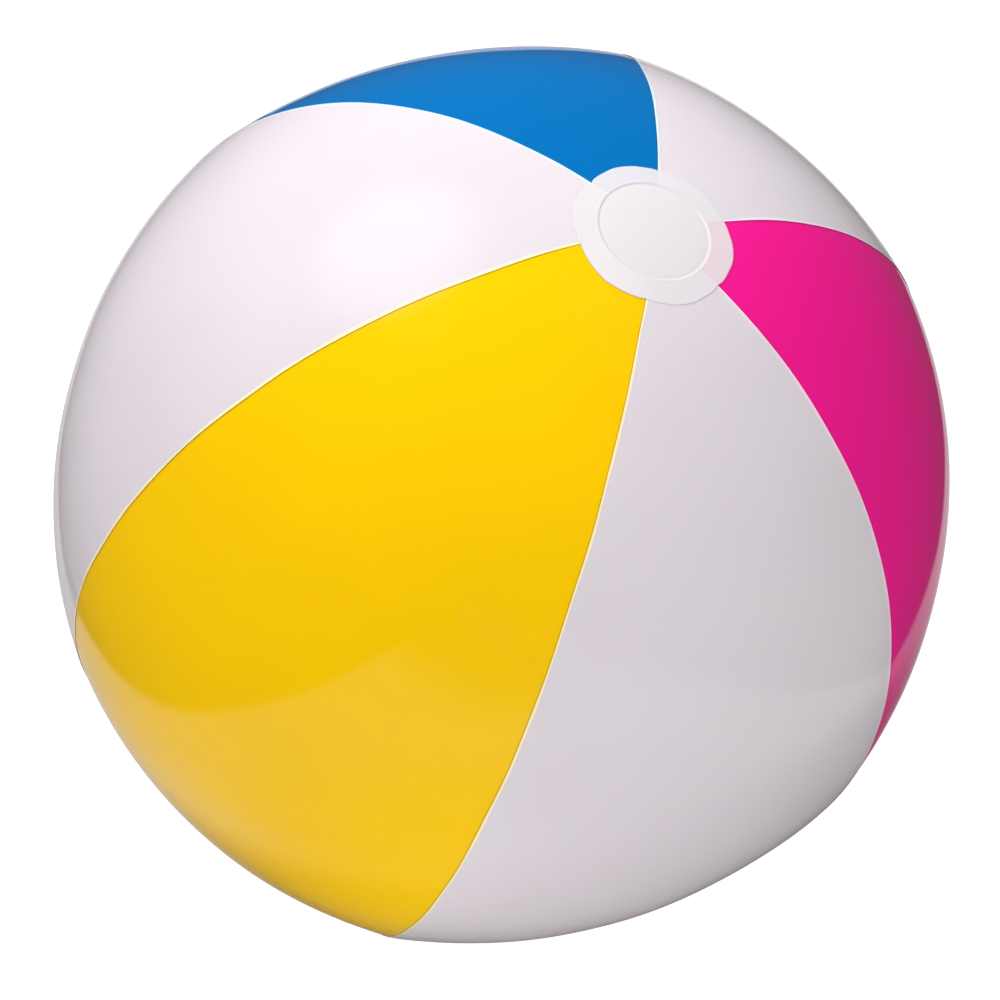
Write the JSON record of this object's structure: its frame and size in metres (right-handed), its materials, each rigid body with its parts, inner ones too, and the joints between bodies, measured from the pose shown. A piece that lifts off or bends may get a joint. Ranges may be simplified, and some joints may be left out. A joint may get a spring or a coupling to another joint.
{
  "type": "inflatable beach ball",
  "caption": "Inflated ball of welded film gores in alternating white and bright colours, with round polar caps and a push-in, plugged inflation valve.",
  "frame": {"origin": "centre of the inflated ball", "axes": "+Z along the polar axis through the top cap, +Y through the middle of the white panel that holds the valve, and so -Y through the middle of the yellow panel"},
  "size_m": [0.505, 0.4992, 0.5188],
  "materials": {
    "film_yellow": "glossy vinyl film",
    "film_blue": "glossy vinyl film",
    "film_pink": "glossy vinyl film",
    "film_white": "glossy vinyl film",
    "film_cap": "glossy translucent vinyl film",
    "valve_vinyl": "soft moulded vinyl, satin"
  },
  "bodies": {
    "skin": {"panel_pink": "film_pink", "panel_white_back": "film_white", "panel_blue": "film_blue", "panel_white_left": "film_white", "panel_yellow": "film_yellow", "panel_white_front": "film_white", "cap_top": "film_cap", "cap_bottom": "film_cap", "valve_flange": "valve_vinyl", "valve_skirt": "valve_vinyl"},
    "stem": {"valve_stem": "valve_vinyl", "tether_collar": "valve_vinyl", "tether_strap": "valve_vinyl"},
    "plug": {"valve_plug": "valve_vinyl"},
    "flap": {"check_flap": "film_cap"}
  },
  "joints": [
    {"name": "valve_stem_slide", "type": "slide", "parent": "skin", "child": "stem", "axis": [0, 1, 0], "range_m": [0, 0.018], "deforming": ["valve_skirt"]},
    {"name": "plug_swing", "type": "hinge", "parent": "stem", "child": "plug", "pos_m": [0, 0.24865, -0.0087], "axis": [-1, 0, 0], "range_deg": [0, 140], "deforming": ["tether_strap"]},
    {"name": "check_flap_hinge", "type": "hinge", "parent": "stem", "child": "flap", "pos_m": [0, 0.23435, 0.0047], "axis": [-1, 0, 0], "range_deg": [0, 65], "stiffness_Nm_per_rad": 0.00005}
  ]
}
